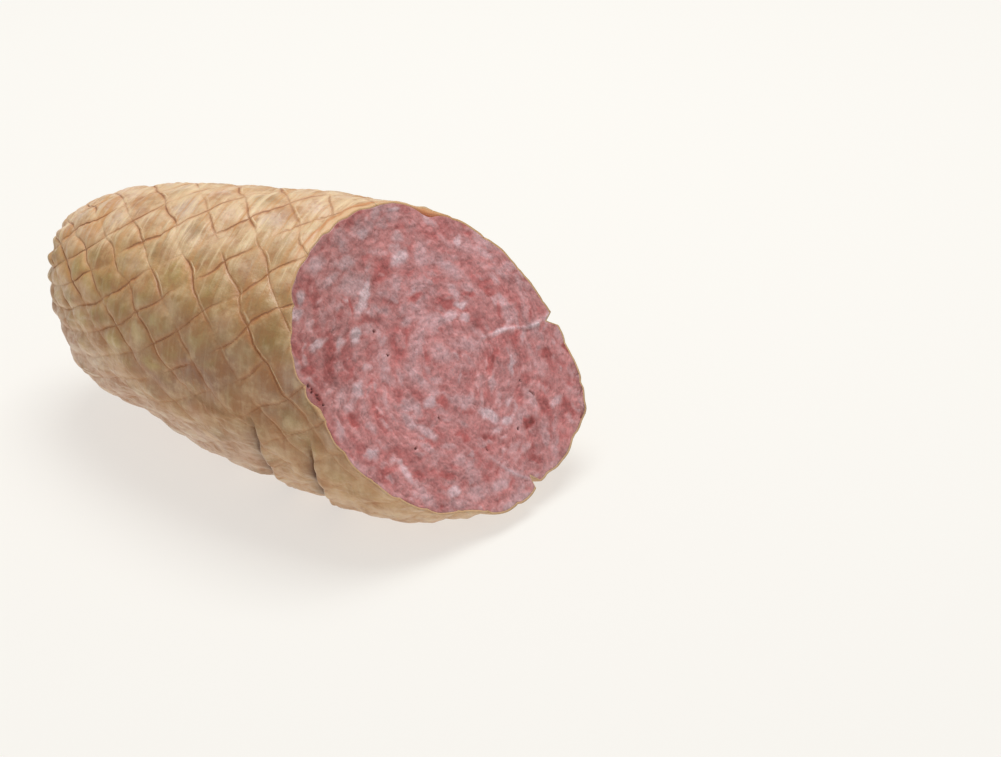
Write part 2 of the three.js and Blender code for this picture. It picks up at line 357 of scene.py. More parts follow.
def net_lines(along, angle, places):
    """The two families' own coordinates, p + q and p - q, with a slight wobble."""
    p, q = net_at(along, angle)
    wobble = [THREAD_WOBBLE * field(places) for field in thread_wobble]
    return p + q + wobble[0], p - q + wobble[1]


def relief_at(along, angle, places):
    """How far the casing stands off the smooth skin, in mm: pillows (the product of an arch
    across each family of threads), minus a bell-shaped groove on each thread, plus lumps,
    wrinkles, pleats as a cosine round the tip, the dimple, the creases and the folds."""
    x = x_along(along)
    line_a, line_b = net_lines(along, angle, places)
    marked = smoothstep(along, GATHER_REACH * 0.4, GATHER_REACH * 1.6)
    near_end = 1 - smoothstep(along, 20, 110)
    quilt = [1 - (1 - 2 * from_line(line)) ** 2 for line in (line_a, line_b)]
    on_top = smoothstep(np.cos(np.radians(turn_between(angle, 85))), 0.75, 0.97)
    taut = 1 - TAUT_TOP * on_top * (1 - 0.5 * near_end)
    rise = (PILLOW + PILLOW_AT_END * near_end) * taut * marked
    relief = rise * (quilt[0] * quilt[1] - PILLOW_LEVEL)
    for line, strength in zip((line_a, line_b), thread_strength):
        depth = GROOVE_DEPTH * np.clip(0.75 + 0.45 * strength(places), 0.1, 1.3)
        off = from_line(line) * LINE_SPACING / GROOVE_WIDTH
        relief -= marked * taut * depth * np.exp(-(off**2))
    relief += WIDE_LUMP_RISE * wide_lumps(places) + SMALL_LUMP_RISE * small_lumps(places)
    wrinkled = np.clip(0.5 + 0.7 * wrinkle_patches(places), 0, 1.4)
    relief += WRINKLE_RISE * ring_wrinkles(along, angle) * wrinkled
    gather = np.sin(np.pi * np.clip(along / (2 * GATHER_REACH), 0, 1))
    relief += PLEAT_RISE * gather * np.cos(np.radians(PLEATS * angle))
    relief -= DIMPLE * np.exp(-((along / DIMPLE_REACH) ** 2))
    for crease in CREASES:
        relief += crease_relief(crease, x, angle)
    for fold in FOLDS:
        relief += fold_relief(fold, x, angle)
    return relief


def casing_at(along, angle):
    """The finished skin: the smooth skin, moved outwards by the relief, and never below Z = 0,
    which leaves the small flat spot that the sausage rests on."""
    smooth = skin_at(x_along(along), angle)
    point = smooth + outward_at(along, angle) * relief_at(along, angle, smooth)[..., None]
    point[..., 2] = np.maximum(point[..., 2], 0)
    return point


test_angles = np.linspace(0, 360, 721)
test_relief = relief_at(np.full(721, 120.0), test_angles, skin_at(x_along(120.0), test_angles))
print("relief round one ring, mm:", test_relief.min().round(2), "to", test_relief.max().round(2))

# %% [markdown]
# ## Where the knife went
#
# The cut is a plane. Slicing a finished mesh with it would leave ragged cells along the edge.
# Instead each lengthwise line of the grid looks for its own meeting with the plane, by halving
# an interval, and ends there, so that the grid's last row is the rim.

# %% The plane of the cut
cut_normal = np.array([
    np.cos(np.radians(CUT_TURN)) * np.cos(np.radians(CUT_TIP)),
    -np.sin(np.radians(CUT_TURN)) * np.cos(np.radians(CUT_TIP)),
    np.sin(np.radians(CUT_TIP)),
])
cut_middle = np.array([0, 0, HALF_HEIGHT])
face_across = np.cross([0, 0, 1], cut_normal)
face_across /= np.linalg.norm(face_across)
face_up = np.cross(cut_normal, face_across)


def along_to_cut(surface, angle, low=90.0, high=290.0):
    """The length along at which a lengthwise line of the surface meets the plane."""
    low = np.full(angle.shape, low)
    high = np.full(angle.shape, high)
    for _ in range(30):
        half = (low + high) / 2
        beyond = (surface(half, angle) - cut_middle) @ cut_normal > 0
        low = np.where(beyond, low, half)
        high = np.where(beyond, half, high)
    return (low + high) / 2


print("the cut faces", cut_normal.round(3), "and its slope runs along", face_up.round(3))

# %% [markdown]
# ## The casing's grid
#
# A grid of equal cells wastes detail on plain skin and has too little in a pinched crease.
# Columns are drawn together at the two notches and rows at the two creases: a density is summed
# along the line, and the grid's lines are put at equal steps of that sum.

# %% Columns and rows
COLUMNS = 400
ROWS = 222
FIRST_ALONG = 1.0


def equal_shares(positions, density, count):
    """The places that cut the summed density into count equal shares."""
    total = np.concatenate([[0], np.cumsum((density[1:] + density[:-1]) / 2 * np.diff(positions))])
    return np.interp(np.linspace(0, total[-1], count), total, positions)


fine_angles = np.linspace(0, 360, 3601)
column_density = np.ones(fine_angles.shape)
for fold in FOLDS:
    column_density += 2.2 * np.exp(-((turn_between(fine_angles, fold["angle"]) / 4) ** 2))
column_angles = equal_shares(fine_angles, column_density, COLUMNS + 1)[:-1]
column_ends = along_to_cut(casing_at, column_angles)


def row_places(angle, end):
    """Lengths along at which one lengthwise line has its rows."""
    places = np.linspace(FIRST_ALONG, end, 900)
    density = np.ones(places.shape)
    for crease in CREASES:
        round_it = np.radians(turn_between(angle, CREASE_MIDDLE))
        off = x_along(places) - crease["x"] - crease["slope"] * round_it - crease["bow"] * round_it**2
        density += 3.2 * crease_share(crease, angle) * np.exp(-((off / 3.2) ** 2))
    return equal_shares(places, density, ROWS)


row_along = np.stack([row_places(a, e) for a, e in zip(column_angles, column_ends)], axis=1)
grid_angle = np.broadcast_to(column_angles, row_along.shape)
outer = casing_at(row_along, grid_angle)
print("outer grid:", outer.shape)
print("rim from x =", outer[-1, :, 0].min().round(1), "to", outer[-1, :, 0].max().round(1))

# %% [markdown]
# ## Rim and inner wall
#
# A skin with no thickness shows as paper at its cut edge, so the casing is a closed shell: the
# outer grid, a narrow rim in the plane of the cut, and a plainer inner wall that nobody sees.
# Solidify could add the wall, but here the rim's width must change round the cut.

# %% The shell's other surfaces
CASING_THICKNESS = 0.8
BARE_RIND = ((50.8, 2.4, 4.0), (174.0, 2.0, 2.6))  # angle, width, spread, where the meat shrank back


def rim_width(angle):
    """The casing's width in the cut: its thickness, and more where the meat fell back."""
    width = np.full(np.shape(angle), CASING_THICKNESS)
    for place, extra, spread in BARE_RIND:
        width = width + extra * np.exp(-((turn_between(angle, place) / spread) ** 2))
    return width


def inner_rim(rim, angle):
    """The rim moved inwards in the plane of the cut by the rim's width."""
    inwards = cut_middle - rim
    inwards /= np.linalg.norm(inwards, axis=-1, keepdims=True)
    return rim + inwards * rim_width(angle)[..., None]


def inner_wall_at(along, angle, inset):
    """The smooth skin moved inwards, far enough to pass below grooves, creases and dimple."""
    x = x_along(along)
    deep = 1.6 + 6 * np.exp(-((along / 18) ** 2))
    for crease in CREASES:
        off = x - crease["x"] - crease["slope"] * np.radians(turn_between(angle, CREASE_MIDDLE))
        deep = deep + 5.5 * crease_share(crease, angle) * np.exp(-((off / 14) ** 2))
    for fold in FOLDS:
        deep = deep - fold_relief(fold, x, angle)
    point = skin_at(x, angle) - outward_at(along, angle) * (deep + inset)[..., None]
    point[..., 2] = np.maximum(point[..., 2], 1.2 + inset)
    return point


WALL_SHARES = 1 - np.array([
    0.012, 0.03, 0.06, 0.1, 0.15, 0.2, 0.26, 0.32, 0.4, 0.48, 0.56, 0.66, 0.76, 0.86, 0.94,
])
wall_along = WALL_SHARES[:, None] * column_ends
inner = inner_wall_at(wall_along, np.broadcast_to(column_angles, wall_along.shape), CASING_THICKNESS)
lip = inner_rim(outer[-1], column_angles)
widest = np.linalg.norm(lip - outer[-1], axis=-1).max()
print("inner wall rows:", len(inner), "rim width, mm:", widest.round(2))


# %% [markdown]
# ## Putting surfaces into a mesh
#
# Blender takes a mesh as flat lists of corners. foreach_set fills them from arrays in one go,
# which is hundreds of times faster than adding faces one by one.

# %% Mesh helpers
def ring_quads(rows, columns, offset=0):
    """Corner numbers of the cells of a grid whose columns close on themselves."""
    row, column = np.meshgrid(np.arange(rows - 1), np.arange(columns), indexing="ij")
    after = (column + 1) % columns
    corners = [row * columns + column, row * columns + after]
    corners += [(row + 1) * columns + after, (row + 1) * columns + column]
    return np.stack(corners, -1).reshape(-1, 4) + offset


def fan(centre, ring):
    """Triangles from one centre to each side of a ring, in the ring's order."""
    return np.stack([np.full(len(ring), centre), ring, np.roll(ring, -1)], -1)


def new_mesh(name, points, quads, triangles):
    """A smooth-shaded mesh object at the origin, from points in mm and two lists of faces."""
    mesh = bpy.data.meshes.new(name)
    points = (points - BOX_MIDDLE) * MM
    mesh.vertices.add(len(points))
    mesh.vertices.foreach_set("co", points.astype(np.float32).ravel())
    corners = np.concatenate([quads.ravel(), triangles.ravel()])
    starts = np.concatenate([np.arange(len(quads)) * 4, len(quads) * 4 + np.arange(len(triangles)) * 3])
    mesh.loops.add(len(corners))
    mesh.loops.foreach_set("vertex_index", corners.astype(np.int32))
    mesh.polygons.add(len(starts))
    mesh.polygons.foreach_set("loop_start", starts.astype(np.int32))
    mesh.polygons.foreach_set("use_smooth", np.ones(len(starts), dtype=bool))
    mesh.update(calc_edges=True)
    mesh.validate()
    piece = bpy.data.objects.new(name, mesh)
    bpy.context.scene.collection.objects.link(piece)
    print(name, "has", len(points), "points and", 2 * len(quads) + len(triangles), "triangles")
    return piece


def give_field(piece, name, values):
    """A number for each point that a material can read by name."""
    field = piece.data.attributes.new(name, "FLOAT", "POINT")
    field.data.foreach_set("value", np.ascontiguousarray(values, dtype=np.float32))


# %% [markdown]
# ## The casing as one closed mesh
#
# The outer grid, the rim and the inner wall are rows of one long grid, so cells of four corners
# join them all. What stays open is a small ring at each end, and a fan of triangles to a point
# in its middle closes it. A merge of all the points in a ring would pinch the skin there.

# %% The casing's mesh
casing_rows = np.concatenate([outer, lip[None], inner])
row_count = len(casing_rows)
casing_points = np.concatenate([
    casing_rows.reshape(-1, 3),
    outer[0].mean(0, keepdims=True),
    inner[-1].mean(0, keepdims=True),
])
tip_outside = row_count * COLUMNS
tip_inside = tip_outside + 1
first_ring = np.arange(COLUMNS)
last_ring = first_ring + (row_count - 1) * COLUMNS
casing = new_mesh(
    "casing",
    casing_points,
    ring_quads(row_count, COLUMNS),
    np.concatenate([fan(tip_outside, first_ring)[:, [0, 2, 1]], fan(tip_inside, last_ring)]),
)

# %% [markdown]
# ## The cut face
#
# A disc's usual grid of rings and spokes crowds its middle. A square grid that is pulled into a
# disc has even cells everywhere: each square ring becomes a round one.

# %% The face's grid
FACE_CELLS = 280


def square_to_disc(count):
    """Radius (0 to 1) and angle of a count by count grid: the larger of |a| and |b| is the
    radius, and the other one, as a share of it, times 45 degrees is the angle in its quarter."""
    a, b = np.meshgrid(np.linspace(-1, 1, count), np.linspace(-1, 1, count))
    wide = np.abs(a) >= np.abs(b)
    radius = np.where(wide, a, b)
    share = np.where(wide, b / np.where(a == 0, 1, a), a / np.where(b == 0, 1, b))
    turn = np.where(wide, 45 * share, 90 - 45 * share)
    angle = np.where(radius < 0, turn + 180, turn) % 360
    return np.abs(radius), angle


def without_folds(along, angle):
    """The smooth skin alone, for the part of the face that the notches don't reach."""
    return skin_at(x_along(along), angle)


def rim_table(surface):
    """The rim's place at every tenth of a degree, moved in by the rim's width."""
    rim = surface(along_to_cut(surface, fine_angles), fine_angles)
    return inner_rim(rim, fine_angles)


def look_up(table, angle):
    """The table's place at an angle, taken between its two neighbours."""
    return np.stack([np.interp(angle, fine_angles, table[:, i]) for i in range(3)], -1)


disc_radius, disc_angle = square_to_disc(FACE_CELLS)
notched_rim = look_up(rim_table(casing_at), disc_angle)
plain_rim = look_up(rim_table(without_folds), disc_angle)
near_rim = smoothstep(disc_radius, 0.8, 1)[..., None]
face = cut_middle + disc_radius[..., None] * (plain_rim - cut_middle)
face += near_rim * disc_radius[..., None] * (notched_rim - plain_rim)
across = (face - cut_middle) @ face_across
up = (face - cut_middle) @ face_up
print("face:", np.ptp(across).round(1), "mm across and", np.ptp(up).round(1), "mm up its slope")

# %% [markdown]
# ## Marbling
#
# Pieces of fat and lean meat were pushed into the casing by a screw, so they lie along a swirl.
# Each piece is a soft ellipse along that swirl, and hundreds of them, drawn with a seed, give the
# pattern. A marble texture could imitate it, but here the same numbers also lift the fat, sink
# the holes and pick the colours, so that light and colour agree.

# %% Pieces of fat and lean
SWIRL_MIDDLE = (2.0, 2.0)  # mm across and up from the middle of the cut
SWIRL_WANDER = 0.45
EDGE_WANDER = 0.3
swirl_noise = lump_field(31, 40)
edge_noise = (lump_field(32, 3.6, 60), lump_field(33, 3.6, 60))
flat_places = np.stack([across, up, np.zeros(across.shape)], -1)
wandering = [place + EDGE_WANDER * noise(flat_places) for place, noise in zip((across, up), edge_noise)]


def swirl_angle(a, b):
    """The direction of the pieces at a place: at right angles to the way from the swirl's
    middle, turned by a slow random field."""
    flat = np.stack([a, b, np.zeros(np.shape(a))], -1)
    outwards = np.arctan2(b - SWIRL_MIDDLE[1], a - SWIRL_MIDDLE[0])
    return outwards + np.pi / 2 + SWIRL_WANDER * swirl_noise(flat)


print("at the left edge the pieces lie at", np.degrees(swirl_angle(-50.0, 0.0)).round(), "degrees")


# %% [markdown]
# ### Laying a piece
#
# A piece is a stretched and turned round spot. Its border is soft, and it wanders with a fine
# random field, because minced fat has no clean edge. Only the grid's points near a piece are
# worked on, which keeps hundreds of pieces quick.

# %% Soft ellipses
def lay_pieces(centres, sizes, stretch, turn, strength, softness=(0.4, 1.4)):
    """Soft ellipses: each is 1 in its middle and fades out between the two softness radii, and
    the highest counts where pieces lap."""
    cover = np.zeros(across.shape)
    for (a, b), size, longer, lean, most in zip(centres, sizes, stretch, turn, strength):
        reach = softness[1] * size * longer
        near = (np.abs(wandering[0] - a) < reach) & (np.abs(wandering[1] - b) < reach)
        da = wandering[0][near] - a
        db = wandering[1][near] - b
        lengthwise = (da * np.cos(lean) + db * np.sin(lean)) / longer
        sideways = -da * np.sin(lean) + db * np.cos(lean)
        inside = 1 - smoothstep(np.hypot(lengthwise, sideways) / size, *softness)
        cover[near] = np.maximum(cover[near], most * inside)
    return cover


def scatter_pieces(seed, count, size, longer):
    """Pieces at random places, of uneven sizes, roughly along the swirl."""
    rng = np.random.default_rng(seed)
    centres = rng.uniform((across.min(), up.min()), (across.max(), up.max()), (count, 2))
    sizes = size * np.exp(rng.normal(0, 0.34, count))
    turn = swirl_angle(centres[:, 0], centres[:, 1]) + rng.normal(0, 0.4, count)
    stretch = rng.uniform(*longer, count)
    return lay_pieces(centres, sizes, stretch, turn, rng.uniform(0.25, 0.85, count))


small_fat = scatter_pieces(41, 300, 1.05, (1.6, 3.6))
large_fat = scatter_pieces(43, 190, 2.0, (1.3, 2.8))
small_lean = scatter_pieces(42, 240, 1.05, (1.6, 3.4))
large_lean = scatter_pieces(44, 155, 2.1, (1.3, 2.6))
print("share of fat:", np.maximum(small_fat, large_fat).mean().round(2))
print("share of dark lean:", np.maximum(small_lean, large_lean).mean().round(2))

# %% [markdown]
# ## Pieces that stand out
#
# The eye finds a sausage again by its few large pieces: the palest fat, the darkest meat, the
# small holes that air left, and the two seams where the meat folded in at the notches. They are
# listed in mm across and up from the middle of the cut, and the rest is left to chance.

# %% Named pieces, holes and seams
PALE_FAT = (  # across, up, half-width, how much longer, turn in degrees, strength
    # high on the face
    (14, 59, 1, 3, 165, 0.9),
    (-5, 56, 2, 1.5, 175, 0.8),
    (6, 42, 2.5, 2, 15, 1),
    (-17, 35, 2, 4, 40, 1),
    # down the left edge
    (-43, 45, 2, 1.5, 45, 0.9),
    (-48, 40, 2, 1.5, 5, 1),
    (-45, 27, 1.5, 3, 5, 0.9),
    (-36, 24, 1.5, 2, 35, 0.8),
    (-28, 24, 2.2, 1.5, 40, 1),
    (-38, 6, 2.3, 1.7, 40, 0.8),
    (-45, -17, 1.8, 2, 175, 0.9),
    (-35, -28, 1.8, 3, 100, 0.8),
    # right of the middle, beside the upper notch
    (35, 38, 1.8, 1.5, 15, 0.9),
    (23, 16, 1.7, 2, 165, 1),
    (16, 14, 2, 2, 5, 0.8),
    (22, 11, 1.7, 1.5, 170, 0.8),
    (35, 0, 1.3, 3.5, 0, 0.8),
    (33, -13, 1.4, 3.3, 55, 0.8),
    # low on the face
    (12, -26, 2.4, 2, 130, 1),
    (19, -31, 1.7, 2, 170, 0.9),
    (-11, -11, 2, 1.7, 0, 0.8),
    (-18, -20, 2, 2.4, 125, 0.8),
    (-19, -44, 2, 1.8, 5, 0.9),
    (2, -51, 2.3, 2.3, 0, 0.7),
    (45, -34, 2, 1.8, 5, 0.7),
)
DARK_LEAN = (
    (-2, 64, 1, 3.3, 170, 0.8),
    (5, 26, 1.7, 2.4, 5, 1),
    (29, 18, 1, 3.5, 155, 0.9),
    (39, 15, 2, 1.4, 150, 1),
    (-24, 34, 1, 2.7, 65, 0.9),
    (-54, 20, 2.2, 1.3, 160, 1),
    (-56, 11, 1.5, 3, 100, 1.1),
    (-46, -3, 1.8, 2, 100, 1),
    (-43, -25, 1.6, 2.6, 165, 0.9),
    (24, -9, 1.8, 3, 40, 1),
    (51, -16, 2, 1.7, 175, 1),
    (62, -18, 1.5, 1.8, 95, 0.9),
    (-5, -13, 2.3, 1.4, 110, 1),
    (28, -36, 2, 2, 0, 1.3),
    (23, -49, 1.7, 2.4, 140, 0.9),
    (-18, -38, 1.7, 2, 150, 0.9),
)
HOLES = (  # across, up, size
    (-20, 22, 0.8),
    (-19, 12, 0.6),
    (-57, 15, 0.6),
    (-56.2, 13.7, 0.4),
    (-56.6, 12.3, 0.8),
    (-55.4, 11, 0.4),
    (-56, 9.5, 0.6),
    (-55, 7, 0.7),
    (3.5, -37, 0.6),
    (22, -36, 0.7),
    (36, -27, 0.9),
    (35.5, -25.8, 0.5),
    (33, -20, 0.5),
    (-10, -18, 0.6),
    (-26, -23, 0.5),
)
SEAMS = (  # a bow from one end to the other: start, end, sag, width
    ((58.5, -3.7), (48, -3.8), 0.4, 1.2),
    ((48, -3.8), (19, 0), -2.2, 0.6),
    ((19, -56.5), (2, -36.5), 2.2, 0.7),
)
print(len(PALE_FAT), "named pieces of fat,", len(DARK_LEAN), "of lean and", len(HOLES), "holes")


# %% [markdown]
# ### Adding them to the pattern
#
# The named pieces lie over the scattered ones: fat gives way where named lean lies, and lean
# gives way to all fat. The result is a few plain numbers for each point of the face, from 0 to 1.

# %% Laying the named pieces
def named_pieces(table):
    """Soft ellipses from a table of places, sizes and turns."""
    a, b, size, longer, turn, strength = np.array(table).T
    centres = np.stack([a, b], -1)
    return lay_pieces(centres, size, longer, np.radians(turn), strength, (0.5, 1.45))


def seam_cover(start, end, sag, width):
    """1 on a bowed line and 0 beside it. Its middle stands off the straight line by the sag."""
    start, end = np.array(start), np.array(end)
    length = np.linalg.norm(end - start)
    ahead = (end - start) / length
    da, db = across - start[0], up - start[1]
    share = np.clip((da * ahead[0] + db * ahead[1]) / length, 0, 1)
    off = -da * ahead[1] + db * ahead[0] - sag * 4 * share * (1 - share)
    beyond = np.hypot(da - share * length * ahead[0], db - share * length * ahead[1])
    fading = (beyond < 6) * (1 - 0.5 * share) * smoothstep(1 - share, 0, 0.25)
    return np.exp(-((off / width) ** 2)) * fading


named_fat = named_pieces(PALE_FAT)
named_lean = named_pieces(DARK_LEAN)
fat = np.maximum(large_fat, 0.8 * small_fat) * (1 - 0.75 * named_lean.clip(0, 1))
fat = np.maximum(fat, named_fat)
lean = np.maximum(large_lean, 0.8 * small_lean) * (1 - 0.9 * fat)
lean = np.maximum(lean, named_lean * (1 - 0.5 * named_fat))
seam = sum(seam_cover(*line) for line in SEAMS)
hole = np.zeros(across.shape)
for a, b, size in HOLES:
    off = np.hypot((wandering[0] - a) * 1.25, wandering[1] - b) / size
    hole = np.maximum(hole, 1 - smoothstep(off, 0.35, 1.25))
print("share of holes:", (hole > 0.5).mean().round(4), "and of seams:", (seam > 0.3).mean().round(4))

# %% [markdown]
# ## The face's relief, and the meat as a closed body
#
# A knife leaves cooked meat slightly torn: fat stands up smooth, lean fibres pull out, holes
# stay open. That relief moves the grid's points along the cut's normal and fades at the rim,
# where the face meets the casing. The rest of the meat is a plain wall inside the casing.

# %% Tone and relief of the face
slow_tone = lump_field(50, 26)
torn_meat = lump_field(52, 3.4, 60)
crumbs = lump_field(53, 1.1, 90)
strands = skin_field(54, 2.0, 24, 90)
slow, torn, crumb = [field(flat_places) for field in (slow_tone, torn_meat, crumbs)]
from_swirl = np.hypot(wandering[0] - SWIRL_MIDDLE[0], wandering[1] - SWIRL_MIDDLE[1])
round_swirl = np.degrees(np.arctan2(wandering[1] - SWIRL_MIDDLE[1], wandering[0] - SWIRL_MIDDLE[0]))
strand = strands(from_swirl + 0.5 * torn, round_swirl)
# The tone runs from 0 for the darkest lean to 1 for the palest fat.
tone = 0.44 + 0.36 * fat + 0.12 * named_fat - 0.31 * lean + 0.02 * slow + 0.02 * torn
tone = tone + 0.012 * strand + 0.3 * seam
# The lift is in mm, outwards from the cut.
lift = 0.14 * fat - 0.12 * lean + 0.12 * torn + 0.03 * strand + 0.06 * crumb - 1.3 * hole + 0.4 * seam
edge_fade = 1 - smoothstep(disc_radius, 0.975, 1)
face = face + (lift * edge_fade)[..., None] * cut_normal
print("relief of the face, mm:", lift.min().round(2), "to", lift.max().round(2))

# %% [markdown]
# ### Closing the meat
#
# Seen from outside, only the face matters. A sheet would do for the picture, but a part that is
# measured or printed has to be a body, so the face's border is joined to a plain wall that
# follows the casing's inner side, and a fan closes the far end.

# %% The meat's mesh
edge = np.concatenate([
    np.arange(FACE_CELLS - 1),
    np.arange(FACE_CELLS - 1) * FACE_CELLS + FACE_CELLS - 1,
    FACE_CELLS**2 - 1 - np.arange(FACE_CELLS - 1),
    FACE_CELLS**2 - FACE_CELLS - np.arange(FACE_CELLS - 1) * FACE_CELLS,
])
edge_angle = disc_angle.ravel()[edge]
edge_end = np.interp(edge_angle, fine_angles, along_to_cut(casing_at, fine_angles))
side_along = WALL_SHARES[:, None] * edge_end
side = inner_wall_at(side_along, np.broadcast_to(edge_angle, side_along.shape), CASING_THICKNESS + 0.3)
face_count = FACE_CELLS**2
edge_count = len(edge)
cell = np.arange(FACE_CELLS - 1)[:, None] * FACE_CELLS + np.arange(FACE_CELLS - 1)
face_quads = np.stack([cell, cell + 1, cell + FACE_CELLS + 1, cell + FACE_CELLS], -1).reshape(-1, 4)
first_side = face_count + np.arange(edge_count)
seam_quads = np.stack([edge, first_side, np.roll(first_side, -1), np.roll(edge, -1)], -1)
side_quads = ring_quads(len(side), edge_count, face_count)[:, ::-1]
back = face_count + side.size // 3
last_side = face_count + (len(side) - 1) * edge_count + np.arange(edge_count)
meat = new_mesh(
    "meat",
    np.concatenate([face.reshape(-1, 3), side.reshape(-1, 3), side[-1].mean(0, keepdims=True)]),
    np.concatenate([face_quads, seam_quads, side_quads]),
    fan(back, last_side)[:, [0, 2, 1]],
)

# %% [markdown]
# ## What the materials read
#
# A material can only vary by what it is told. Each mesh carries a few numbers for each point,
# worked out with the fields that shaped it, and the casing also carries a UV map in the net's
# own measure, so that a thread's mark stays in its groove however the casing bends.

# %% Fields for the casing's material
casing_along = np.concatenate([row_along, column_ends[None], wall_along])
casing_angle = np.broadcast_to(column_angles, casing_along.shape)
casing_x = x_along(casing_along)
casing_smooth = skin_at(casing_x, casing_angle)
line_a, line_b = net_lines(casing_along, casing_angle, casing_smooth)
in_rim = np.zeros(casing_along.shape)
in_rim[ROWS:] = 1


def give_casing(name, values):
    """A field for the casing, with nothing at its two tip points."""
    give_field(casing, name, np.concatenate([values.ravel(), np.zeros(2)]))


# How well a thread shows: best on both upper flanks, where the skin is dry, and less below.
from_flank = np.abs(turn_between(casing_angle, 90)) - 28
dry_side = 0.25 + 0.75 * smoothstep(np.cos(np.radians(from_flank)), 0.25, 0.9)
for name, strength in zip(("line_a", "line_b"), thread_strength):
    give_casing(name, np.clip(0.6 + 0.4 * strength(casing_smooth), 0.06, 1) * dry_side)

# The crease field is painted shade: dark in each crease's slit and in a soft band on its tip side.
crease_shade = 0
for crease in CREASES:
    round_it = np.radians(turn_between(casing_angle, CREASE_MIDDLE))
    off = casing_x - crease["x"] - crease["slope"] * round_it - crease["bow"] * round_it**2
    slit = 0.97 * np.exp(-(((off + 0.5) / 1.6) ** 2)) + 0.4 * np.exp(-(((off + 2.8) / 2.8) ** 2))
    crease_shade = crease_shade + crease_share(crease, casing_angle) ** 2 * slit
give_casing("crease", np.clip(crease_shade, 0, 1))
give_casing("rim", in_rim)
print("a thread's mark is at least", dry_side.min().round(2), "as strong as the strongest")

# %% [markdown]
# ### Where the casing is pale, olive or brown
#
# Smoke and fat colour a natural casing unevenly: brown along the flanks, olive in the middle of
# many diamonds and ashen below, where it stayed damp. The pale, pinkish patches on top are partly
# pale casing over fat and partly a painted highlight. One more field, deep, is painted shade: it
# darkens the upper flanks and a low place before the creases. Each is a soft field of the angle
# from the top, roughened by lumps.

# %% The casing's patches
patch_noise = lump_field(61, 34)
side_noise = lump_field(64, 60)
olive_noise = lump_field(63, 17)
pale_noise = lump_field(65, 15)
from_top = np.abs(turn_between(casing_angle, 90)) + 5 * side_noise(casing_smooth)
near_tip = smoothstep(-casing_x, 112, 146)
warm = 1 - smoothstep(from_top, 18, 66)
# The pale field on top is partly pale casing over fat and partly a painted highlight on the pillows.
pale_and_highlight = (1 - smoothstep(from_top, 8, 46)) * smoothstep(pale_noise(casing_smooth), -0.7, 1.3)
brown = np.exp(-(((from_top - 82) / 25) ** 2)) * (1 - 0.85 * near_tip)
brown = brown * np.clip(0.9 + 0.2 * patch_noise(casing_smooth), 0, 1)
ashen = smoothstep(from_top, 92, 128) * (1 - 0.45 * smoothstep(casing_x, -75, -35))
ashen = np.clip(ashen + 0.55 * near_tip * smoothstep(from_top, 55, 90), 0, 1)
olive = smoothstep(olive_noise(casing_smooth), -0.9, 1.1) * smoothstep(from_top, 22, 50)
olive = olive * (1 - 0.75 * smoothstep(from_top, 84, 118)) * (0.65 + 0.35 * smoothstep(-casing_x, 60, 100))
# The deep field is painted shade: darker on the upper flanks and in a low place before the creases.
deep = np.exp(-(((from_top - 48) / 21) ** 2)) * (0.45 + 0.55 * smoothstep(casing_x, -100, -65))
deep = deep + np.exp(-(((from_top - 113) / 14) ** 2) - ((casing_x + 58) / 22) ** 2)
patches = {"warm": warm, "pale_and_highlight": pale_and_highlight, "brown": brown, "ashen": ashen, "olive": olive, "deep": deep}
for name, values in patches.items():
    give_casing(name, values)
    print(name, "covers", values[:ROWS].mean().round(2), "of the skin")

# %% [markdown]
# ### A tint for each diamond
#
# Each diamond dried a little differently. It is known by the whole numbers nearest to its two
# net coordinates, and a table of random tints is read with them. Going once round changes both
# numbers by fourteen, so the table repeats after that and the tints meet behind the sausage.

# %% The diamonds' tints
nearest_a = np.floor(line_a + 0.5).astype(int)
nearest_b = np.floor(line_b + 0.5).astype(int)
tints = np.random.default_rng(66).uniform(-1, 1, (64, 2 * DIAMONDS_ROUND))
diamond = tints[(nearest_a + nearest_b) % 64, (nearest_a - nearest_b) % (2 * DIAMONDS_ROUND)]
give_casing("dark_diamond", np.maximum(diamond, 0))
give_casing("pale_diamond", np.maximum(-diamond, 0))
print("diamonds from tip to cut:", np.ptp(nearest_a + nearest_b) // 2)

# %% [markdown]
# ### The casing's cut edge
#
# Beside the rim, on top, the casing has dried and curled a little: a pale band, and a brown line
# behind it. At one place the meat shrank back and the bare rind shows orange. Each is a bell
# shape of the way to the rim or of the angle.

# %% Fields for the casing's edge
to_rim = column_ends - casing_along
on_top = smoothstep(np.cos(np.radians(casing_angle - 88)), 0.82, 0.97) * (1 - in_rim)
give_casing("edge_band", on_top * (1 - smoothstep(to_rim, 1.6, 2.8)))
give_casing("edge_line", on_top * np.exp(-(((to_rim - 3.3) / 0.8) ** 2)))
give_casing("bare", in_rim * np.exp(-((turn_between(casing_angle, BARE_RIND[0][0]) / 6) ** 2)))
print("edge band on", (on_top[ROWS - 1] > 0.5).mean().round(2), "of the rim")

# %% [markdown]
# ### The net's own measure as a UV map
#
# A UV map usually says where a picture lies on a mesh. Here it holds the net's two coordinates,
# so that a material can draw threads wherever one of them is a whole number and a half. The
# last column of cells runs on past 360 degrees, so its corners count on as well.

